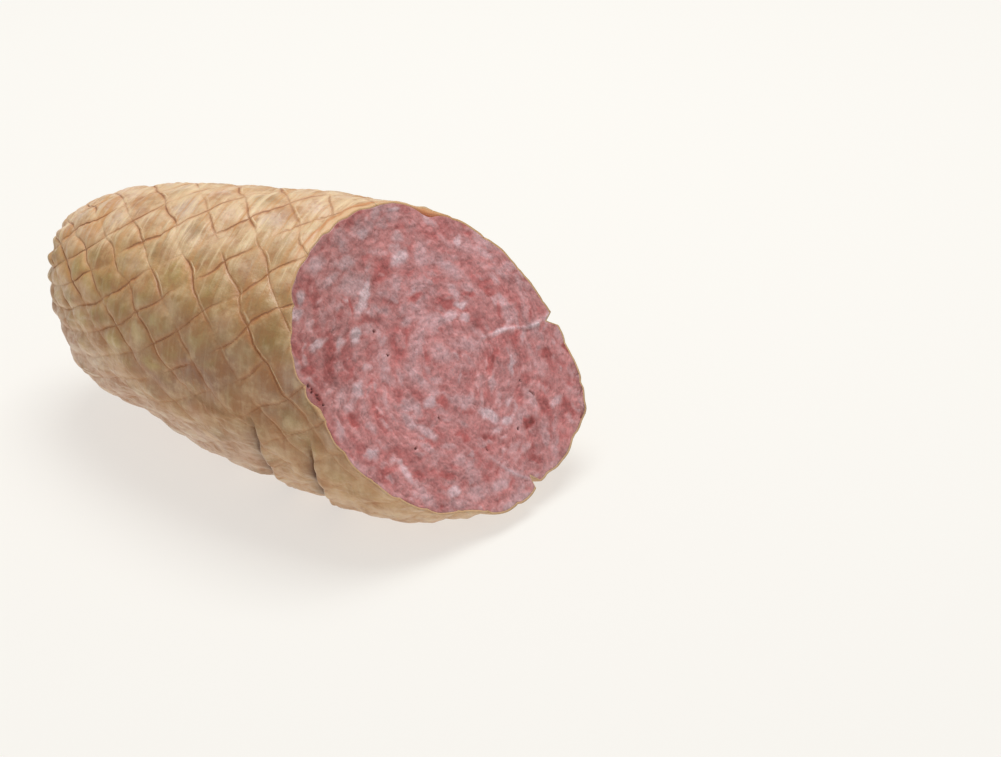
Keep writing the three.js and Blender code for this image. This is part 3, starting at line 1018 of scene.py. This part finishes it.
# %% The UV map
uv_a = np.concatenate([line_a, line_a[:, :1] - DIAMONDS_ROUND], axis=1)
uv_b = np.concatenate([line_b, line_b[:, :1] + DIAMONDS_ROUND], axis=1)
row, column = np.meshgrid(np.arange(row_count - 1), np.arange(COLUMNS), indexing="ij")
corner_rows = np.stack([row, row, row + 1, row + 1], -1)
corner_columns = np.stack([column, column + 1, column + 1, column], -1)
uv = np.stack([uv_a[corner_rows, corner_columns], uv_b[corner_rows, corner_columns]], -1).reshape(-1, 2)
uv = np.concatenate([uv, np.zeros((6 * COLUMNS, 2))])
net_map = casing.data.uv_layers.new(name="net")
net_map.data.foreach_set("uv", uv.astype(np.float32).ravel())
print("across the seam the net's measure jumps by", (line_a[100, 0] - line_a[100, -1]).round(2))

# %% [markdown]
# ### What the meat's material reads
#
# The tone picks the colour, and each hole gets painted shade. Two slower fields make the face
# darker and greyer towards the upper left, and a little lighter or darker in patches of three
# sizes.

# %% Fields for the meat's material
FACE_SHADE = 0.93
STRAND_SHADE = 0.04
SHADE_LUMPS = ((71, 20, 0.035), (72, 8, 0.045), (73, 3.6, 0.05))  # seed, size in mm, spread
hidden = np.zeros(len(meat.data.vertices) - face_count)
give_field(meat, "tone", np.concatenate([tone.ravel(), hidden + 0.4]))
give_field(meat, "hole", np.concatenate([hole.ravel(), hidden]))
# Darker and greyer towards the upper left of the face.
grey = smoothstep(-0.62 * across + 0.78 * up + 4 * slow, 8, 58)
give_field(meat, "grey", np.concatenate([grey.ravel(), hidden]))
shade = FACE_SHADE + STRAND_SHADE * strand
for seed, size, spread in SHADE_LUMPS:
    shade = shade + spread * lump_field(seed, size, 60)(flat_places)
give_field(meat, "shade", np.concatenate([shade.ravel(), hidden + 1]))
print("tone of the face:", np.percentile(tone, [3, 50, 97]).round(2))

# %% [markdown]
# ## Building materials from nodes
#
# A material is a small graph. Writing each link by hand hides what it does, so one helper adds a
# node, sets the inputs that are values and links those that come from another node.

# %% Node helpers
def start_material(name):
    """A new material and its Principled shader."""
    material = bpy.data.materials.new(name)
    material.use_nodes = True
    return material, material.node_tree.nodes["Principled BSDF"]


def add_node(material, kind, inputs, **settings):
    """A node with its settings and inputs; an input is a value or another node's output."""
    node = material.node_tree.nodes.new("ShaderNode" + kind)
    for key, value in settings.items():
        setattr(node, key, value)
    for key, value in inputs.items():
        if isinstance(value, bpy.types.NodeSocket):
            material.node_tree.links.new(value, node.inputs[key])
        else:
            node.inputs[key].default_value = value
    return node


def read_field(material, name):
    """The number that the mesh carries under this name."""
    return add_node(material, "Attribute", {}, attribute_name=name).outputs["Fac"]


def calculate(material, operation, first, second=0.0, third=0.0):
    """One step of arithmetic."""
    return add_node(material, "Math", {0: first, 1: second, 2: third}, operation=operation).outputs[0]


def blend(material, share, first, second, kind="MIX"):
    """From the first colour to the second by a share."""
    inputs = {0: share, 6: first, 7: second}
    return add_node(material, "Mix", inputs, data_type="RGBA", blend_type=kind).outputs[2]


def grade(material, value, low, high, to_low=0.0, to_high=1.0):
    """A value between low and high, moved smoothly to another range."""
    inputs = {0: value, 1: low, 2: high, 3: to_low, 4: to_high}
    return add_node(material, "MapRange", inputs, interpolation_type="SMOOTHSTEP").outputs[0]


def noise(material, place, per_metre, detail=3.0, roughness=0.5):
    """Noise with about this many lumps in a metre."""
    inputs = {"Vector": place, "Scale": per_metre, "Detail": detail, "Roughness": roughness}
    return add_node(material, "TexNoise", inputs).outputs[0]


def srgb(red, green, blue):
    """A colour as a picture shows it (0 to 255), as the linear light that Blender counts in."""
    value = np.array([red, green, blue]) / 255
    linear = np.where(value <= 0.04045, value / 12.92, ((value + 0.055) / 1.055) ** 2.4)
    return (*linear.tolist(), 1.0)


print("a mid grey of 128 is", round(srgb(128, 128, 128)[0], 3), "as linear light")

# %% [markdown]
# ## The casing's finish
#
# A cooked natural casing is a thin, tanned, slightly wet skin. Its colour goes from pale pinkish
# tan to olive and brown, its threads' marks are thin orange-brown lines, and fine fibres run
# round it. Light enters it a little, so it gets some subsurface scattering and a soft gloss.

# %% Casing colours
RIND_TAN = srgb(207, 163, 101)
RIND_WARM = srgb(222, 188, 146)
# The next colour is pale casing, and on top it is also a painted highlight.
RIND_PALE_AND_HIGHLIGHT = srgb(230, 201, 178)
RIND_OLIVE = srgb(183, 160, 93)
RIND_BROWN = srgb(158, 117, 92)
RIND_MOSS = srgb(146, 114, 72)
# The next colour multiplies in painted shade on the upper flanks and before the creases.
RIND_PAINTED_SHADE = (0.76, 0.72, 0.69, 1)
RIND_WHITISH = srgb(226, 206, 184)
RIND_ASHEN = srgb(208, 175, 152)
# The next colour is pale fibres and blotches, and also the painted highlight on the threads' ridges.
RIND_STRAND_AND_HIGHLIGHT = srgb(240, 214, 172)
RIND_SHADE = srgb(166, 112, 70)
RIND_OCHRE = srgb(204, 146, 86)
RIND_HALO = srgb(206, 140, 88)
RIND_LINE = srgb(158, 98, 58)
# The next colour is painted shade in the creases.
RIND_CREASE_SHADE = srgb(88, 50, 28)
RIND_EDGE = srgb(222, 180, 134)
RIND_BARE = srgb(222, 114, 64)
LINE_HALF_WIDTH = 0.042  # of the distance between two threads
HALO_HALF_WIDTH = 0.15
print("the casing's tan as linear light:", [round(part, 3) for part in RIND_TAN[:3]])

# %% [markdown]
# ### Noises
#
# Squeezing the place before a noise reads it draws the noise out: the fibres round the casing
# and those along it are the same noise, drawn out in different directions.

# %% Noises of the casing
rind, rind_shader = start_material("casing")
rind_place = add_node(rind, "TexCoord", {}).outputs["Object"]
squeezed = add_node(rind, "Mapping", {"Vector": rind_place, "Scale": (1, 0.09, 0.09)}).outputs[0]
drawn_out = add_node(rind, "Mapping", {"Vector": rind_place, "Scale": (0.16, 1, 1)}).outputs[0]
ring_fibres = noise(rind, squeezed, 330, 4.0, 0.6)
long_fibres = noise(rind, drawn_out, 420, 4.0, 0.6)
blotches = noise(rind, rind_place, 80, 4.0, 0.6)
mottles = noise(rind, rind_place, 260, 4.0, 0.6)
specks = noise(rind, rind_place, 800, 3.0, 0.6)
read = {name: read_field(rind, name) for name in patches}
print("fields read by the casing:", ", ".join(read))

# %% [markdown]
# ### The threads' lines
#
# A thread leaves a thin dark line, a wide soft halo and, on one side, a ridge where the casing
# stood up against it: the ridge is a bump, and a painted highlight makes it pale. All three come
# from the same distance to the nearest thread. A noise shakes and breaks them, since a dried mark
# is never whole.

# %% The net's lines on the casing
net_uv = add_node(rind, "UVMap", {}, uv_map="net").outputs[0]
net_parts = add_node(rind, "SeparateXYZ", {0: net_uv})
shake = calculate(rind, "MULTIPLY", calculate(rind, "SUBTRACT", mottles, 0.5), 0.09)
line_marks = []
halo_marks = []
ridges_with_highlight = []
to_lines = []
for axis, name in enumerate(("line_a", "line_b")):
    within = calculate(rind, "FRACT", calculate(rind, "ADD", net_parts.outputs[axis], shake))
    distance = calculate(rind, "ABSOLUTE", calculate(rind, "SUBTRACT", within, 0.5))
    strength = read_field(rind, name)
    # The ridge beside a thread: a real ridge in the bump, and a painted highlight in the colour.
    beside = calculate(rind, "ABSOLUTE", calculate(rind, "SUBTRACT", within, 0.58))
    ridges_with_highlight.append(calculate(rind, "MULTIPLY", grade(rind, beside, 0.0, 0.04, 1.0, 0.0), strength))
    thin = grade(rind, distance, 0.004, LINE_HALF_WIDTH, 1.0, 0.0)
    wide = grade(rind, distance, 0.0, HALO_HALF_WIDTH, 1.0, 0.0)
    line_marks.append(calculate(rind, "MULTIPLY", thin, strength))
    halo_marks.append(calculate(rind, "MULTIPLY", wide, strength))
    to_lines.append(distance)
line_mark = calculate(rind, "MAXIMUM", *line_marks)
halo_mark = calculate(rind, "MAXIMUM", *halo_marks)
line_mark = calculate(rind, "MULTIPLY", line_mark, grade(rind, blotches, 0.3, 0.55, 0.55, 1.0))
ridge_with_highlight = calculate(rind, "MULTIPLY", ridges_with_highlight[0], grade(rind, blotches, 0.45, 0.6, 0.0, 0.8))
in_diamond = grade(rind, calculate(rind, "MINIMUM", *to_lines), 0.08, 0.38)
print("nodes for the lines so far:", len(rind.node_tree.nodes))

# %% [markdown]
# ### Colour in layers
#
# The colour is painted as a maker of replicas would: broad washes first, with a painted
# highlight on top and painted shade on the upper flanks, then the diamonds' tints, blotches and
# fibres, the threads' lines with a painted highlight on one side, and last the painted shade in
# the creases and the cut edge. Each layer is one mix, and its share says how much of it covers
# the layer below.

# %% The casing's colour
mostly_inside = calculate(rind, "MULTIPLY_ADD", in_diamond, 0.7, 0.3)
olive_share = calculate(rind, "MULTIPLY", read["olive"], mostly_inside)
pale_and_highlight_share = calculate(rind, "MULTIPLY", read["pale_and_highlight"], mostly_inside)
strand_share = calculate(rind, "MULTIPLY_ADD", read["warm"], 0.6, 0.12)
rind_colour = blend(rind, read["warm"], RIND_TAN, RIND_WARM)
rind_colour = blend(rind, read["brown"], rind_colour, RIND_BROWN)
rind_colour = blend(rind, read["ashen"], rind_colour, RIND_ASHEN)
rind_colour = blend(rind, calculate(rind, "MULTIPLY", olive_share, 0.7), rind_colour, RIND_OLIVE)
# Pale casing over fat on top, partly a painted highlight.
rind_colour = blend(rind, pale_and_highlight_share, rind_colour, RIND_PALE_AND_HIGHLIGHT)
dark_diamond = calculate(rind, "MULTIPLY", read_field(rind, "dark_diamond"), in_diamond)
pale_diamond = calculate(rind, "MULTIPLY", read_field(rind, "pale_diamond"), in_diamond)
# Painted shade on the upper flanks and in a low place before the creases.
rind_colour = blend(rind, read["deep"], rind_colour, RIND_PAINTED_SHADE, "MULTIPLY")
rind_colour = blend(rind, calculate(rind, "MULTIPLY", dark_diamond, 0.6), rind_colour, RIND_MOSS)
rind_colour = blend(rind, calculate(rind, "MULTIPLY", pale_diamond, 0.3), rind_colour, RIND_PALE_AND_HIGHLIGHT)
rind_colour = blend(rind, grade(rind, blotches, 0.5, 0.68, 0.0, 0.6), rind_colour, RIND_SHADE)
rind_colour = blend(rind, grade(rind, blotches, 0.5, 0.34, 0.0, 0.3), rind_colour, RIND_STRAND_AND_HIGHLIGHT)
rind_colour = blend(rind, grade(rind, mottles, 0.5, 0.3, 0.0, 0.42), rind_colour, RIND_SHADE)
rind_colour = blend(rind, grade(rind, mottles, 0.5, 0.72, 0.0, 0.2), rind_colour, RIND_STRAND_AND_HIGHLIGHT)
light_strands = calculate(rind, "MULTIPLY", grade(rind, ring_fibres, 0.5, 0.68), strand_share)
dark_strands = calculate(rind, "MULTIPLY", grade(rind, ring_fibres, 0.5, 0.32), strand_share)
rind_colour = blend(rind, light_strands, rind_colour, RIND_STRAND_AND_HIGHLIGHT)
rind_colour = blend(rind, dark_strands, rind_colour, RIND_OCHRE)
low_strands = calculate(rind, "MULTIPLY", grade(rind, long_fibres, 0.5, 0.32, 0.0, 0.5), read["ashen"])
rind_colour = blend(rind, low_strands, rind_colour, RIND_SHADE)
bright_strands = calculate(rind, "MULTIPLY", grade(rind, long_fibres, 0.5, 0.68, 0.0, 0.75), read["ashen"])
rind_colour = blend(rind, bright_strands, rind_colour, RIND_WHITISH)
rind_colour = blend(rind, calculate(rind, "MULTIPLY", halo_mark, 0.5), rind_colour, RIND_HALO)
# Painted highlight on the ridge beside each thread.
rind_colour = blend(rind, ridge_with_highlight, rind_colour, RIND_STRAND_AND_HIGHLIGHT)
rind_colour = blend(rind, calculate(rind, "MULTIPLY", line_mark, 0.8), rind_colour, RIND_LINE)
rind_colour = blend(rind, read_field(rind, "edge_band"), rind_colour, RIND_EDGE)
rind_colour = blend(rind, read_field(rind, "edge_line"), rind_colour, RIND_HALO)
# Painted shade in the creases.
rind_colour = blend(rind, read_field(rind, "crease"), rind_colour, RIND_CREASE_SHADE)
rind_colour = blend(rind, read_field(rind, "rim"), rind_colour, RIND_EDGE)
rind_colour = blend(rind, read_field(rind, "bare"), rind_colour, RIND_BARE)
rind.node_tree.links.new(rind_colour, rind_shader.inputs["Base Color"])
print("nodes with the colour:", len(rind.node_tree.nodes))

# %% [markdown]
# ### Fine relief and gloss
#
# Fibres finer than the mesh's cells are left to a bump, which only tilts the light. The gloss
# changes with the blotches, because a casing dries in patches.

# %% The casing's fine relief and gloss
rind_height = calculate(rind, "MULTIPLY_ADD", specks, 0.3, calculate(rind, "MULTIPLY", mottles, 0.8))
rind_height = calculate(rind, "MULTIPLY_ADD", ring_fibres, 0.8, rind_height)
rind_height = calculate(rind, "MULTIPLY_ADD", line_mark, -0.7, rind_height)
rind_height = calculate(rind, "MULTIPLY_ADD", ridge_with_highlight, 0.5, rind_height)
rind_bump = add_node(rind, "Bump", {"Strength": 0.7, "Distance": 0.0008, "Height": rind_height})
rind.node_tree.links.new(rind_bump.outputs[0], rind_shader.inputs["Normal"])
rind_gloss = grade(rind, blotches, 0.3, 0.7, 0.36, 0.54)
rind.node_tree.links.new(rind_gloss, rind_shader.inputs["Roughness"])
rind_shader.inputs["Subsurface Weight"].default_value = 0.1
rind_shader.inputs["Subsurface Radius"].default_value = (1.0, 0.5, 0.25)
rind_shader.inputs["Subsurface Scale"].default_value = 0.0025
casing.data.materials.append(rind)
print("casing material:", len(rind.node_tree.nodes), "nodes")

# %% [markdown]
# ## The meat's finish
#
# Cooked meat goes from red lean to lilac-grey fat through every pink between. One ramp turns
# the tone into colour, so that soft edges stay soft, and a fine grain breaks it up.

# %% The meat's colour
MEAT_RAMP = (  # tone, colour
    (0.0, srgb(176, 80, 76)),
    (0.2, srgb(191, 107, 105)),
    (0.45, srgb(207, 140, 139)),
    (0.65, srgb(214, 163, 165)),
    (0.85, srgb(224, 186, 191)),
    (1.0, srgb(240, 208, 213)),
)
MEAT_GREY = (0.74, 0.76, 0.72, 1)
# The next colour is painted shade in the holes.
MEAT_HOLE_SHADE = srgb(92, 36, 30)
cut_meat, meat_shader = start_material("meat")
meat_place = add_node(cut_meat, "TexCoord", {}).outputs["Object"]
fine_grain = calculate(cut_meat, "SUBTRACT", noise(cut_meat, meat_place, 1100, 3.0, 0.6), 0.5)
coarse_grain = calculate(cut_meat, "SUBTRACT", noise(cut_meat, meat_place, 420, 3.0, 0.55), 0.5)
meat_tone = calculate(cut_meat, "MULTIPLY_ADD", coarse_grain, 0.03, read_field(cut_meat, "tone"))
ramp = add_node(cut_meat, "ValToRGB", {0: meat_tone})
while len(ramp.color_ramp.elements) < len(MEAT_RAMP):
    ramp.color_ramp.elements.new(0.5)
for element, (position, colour) in zip(ramp.color_ramp.elements, MEAT_RAMP):
    element.position = position
    element.color = colour
grey_share = calculate(cut_meat, "MULTIPLY", read_field(cut_meat, "grey"), 0.7)
# Painted shade in the holes.
hole_shade_share = calculate(cut_meat, "MULTIPLY", read_field(cut_meat, "hole"), 0.85)
meat_colour = blend(cut_meat, grey_share, ramp.outputs[0], MEAT_GREY, "MULTIPLY")
value = calculate(cut_meat, "MULTIPLY_ADD", fine_grain, 0.75, read_field(cut_meat, "shade"))
value = calculate(cut_meat, "MULTIPLY_ADD", coarse_grain, 0.6, value)
meat_colour = blend(cut_meat, 1.0, meat_colour, value, "MULTIPLY")
meat_colour = blend(cut_meat, hole_shade_share, meat_colour, MEAT_HOLE_SHADE)
cut_meat.node_tree.links.new(meat_colour, meat_shader.inputs["Base Color"])
print("steps of the meat's colour ramp:", len(ramp.color_ramp.elements))

# %% [markdown]
# ### Grain and gloss of the meat
#
# Cut meat is moist, so it shines softly, and red light travels furthest in it. The subsurface
# radius is therefore longest for red.

# %% The meat's grain and gloss
meat_height = calculate(cut_meat, "MULTIPLY_ADD", fine_grain, 0.6, coarse_grain)
meat_bump = add_node(cut_meat, "Bump", {"Strength": 0.45, "Distance": 0.0006, "Height": meat_height})
cut_meat.node_tree.links.new(meat_bump.outputs[0], meat_shader.inputs["Normal"])
meat_shader.inputs["Roughness"].default_value = 0.42
meat_shader.inputs["Subsurface Weight"].default_value = 0.1
meat_shader.inputs["Subsurface Radius"].default_value = (1.0, 0.35, 0.3)
meat_shader.inputs["Subsurface Scale"].default_value = 0.002
meat.data.materials.append(cut_meat)
print("meat material:", len(cut_meat.node_tree.nodes), "nodes")

# %% [markdown]
# ## Joining the frame
#
# Both pieces ride on the one body and stand in the place of its plain solid.

# %% Pieces and their body
for piece, slot in ((casing, "rind"), (meat, "meat")):
    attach(piece, "root")
    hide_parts("sausage")
    print(piece.name, "has the finish", slot)

# %% [markdown]
# ## The floor
#
# The photo's ground is nearly white and its shadow light, as on a lit table. A white floor under
# one lamp would be burnt out before its shadow was that light. So the floor is a mid grey that
# also glows: the glow fills the shadow and lights the sausage from below.

# %% The floor
FLOOR_HALF = 12.0
FLOOR_HEIGHT = -0.0002
FLOOR_GREY = (0.32, 0.325, 0.305, 1)
FLOOR_GLOW_COLOUR = (1, 0.958, 0.915, 1)
FLOOR_GLOW = 0.63
floor_mesh = bpy.data.meshes.new("floor")
floor_sides = ((-1, -1), (1, -1), (1, 1), (-1, 1))
floor_corners = [(a * FLOOR_HALF, b * FLOOR_HALF, FLOOR_HEIGHT) for a, b in floor_sides]
floor_mesh.from_pydata(floor_corners, [], [(0, 1, 2, 3)])
floor = bpy.data.objects.new("floor", floor_mesh)
bpy.context.scene.collection.objects.link(floor)
floor_look, floor_shader = start_material("floor")
floor_shader.inputs["Base Color"].default_value = FLOOR_GREY
floor_shader.inputs["Emission Color"].default_value = FLOOR_GLOW_COLOUR
floor_shader.inputs["Emission Strength"].default_value = FLOOR_GLOW
floor_shader.inputs["Roughness"].default_value = 0.9
floor_shader.inputs["Specular IOR Level"].default_value = 0.1
floor.data.materials.append(floor_look)
print("the floor is", 2 * FLOOR_HALF, "metres wide")

# %% [markdown]
# ## Light
#
# One wide soft lamp stands overhead and a little behind, which gives a pale top, a darker near
# flank and a soft shadow in front. The world adds an even fill. More lamps would give more
# shadows than the photo has. The Standard view shows colours as they are, without a film's curve.

# %% Light
WORLD_STRENGTH = 0.42
world = bpy.data.worlds.new("studio")
world.use_nodes = True
world.node_tree.nodes["Background"].inputs["Color"].default_value = (1, 0.99, 0.97, 1)
world.node_tree.nodes["Background"].inputs["Strength"].default_value = WORLD_STRENGTH
bpy.context.scene.world = world
bpy.context.scene.view_settings.view_transform = "Standard"


def soft_light(name, place, aim, size, power, colour=(1, 1, 1)):
    """A square area light at a place, facing a point."""
    light = bpy.data.lights.new(name, "AREA")
    light.size = size
    light.energy = power
    light.color = colour
    lamp = bpy.data.objects.new(name, light)
    lamp.location = place
    lamp.rotation_euler = (Vector(aim) - Vector(place)).to_track_quat("-Z", "Y").to_euler()
    bpy.context.scene.collection.objects.link(lamp)
    print(name, "gives", power, "watts over", size, "metres")


soft_light("overhead", (-0.06, 0.36, 1.28), (0, 0, 0), 0.8, 12.5)

# %% [markdown]
# ## The camera
#
# It looks down from the side and from the cut end, as in the photo. A long lens from some way
# off keeps the sausage from tapering more than it does.

# %% The camera
CAMERA_PLACE = np.array([394.1, -707.8, 506.0])  # mm
CAMERA_TURN = 23.27
CAMERA_DIP = 30.33
camera_data = bpy.data.cameras.new("camera")
camera_data.lens = 87.0
camera_data.sensor_width = 36
camera = bpy.data.objects.new("camera", camera_data)
camera.location = CAMERA_PLACE * MM
camera.rotation_euler = (np.radians(90 - CAMERA_DIP), 0, np.radians(CAMERA_TURN))
bpy.context.scene.collection.objects.link(camera)
bpy.context.scene.camera = camera
print("camera at", (CAMERA_PLACE * MM).round(3), "lens", camera_data.lens, "mm")
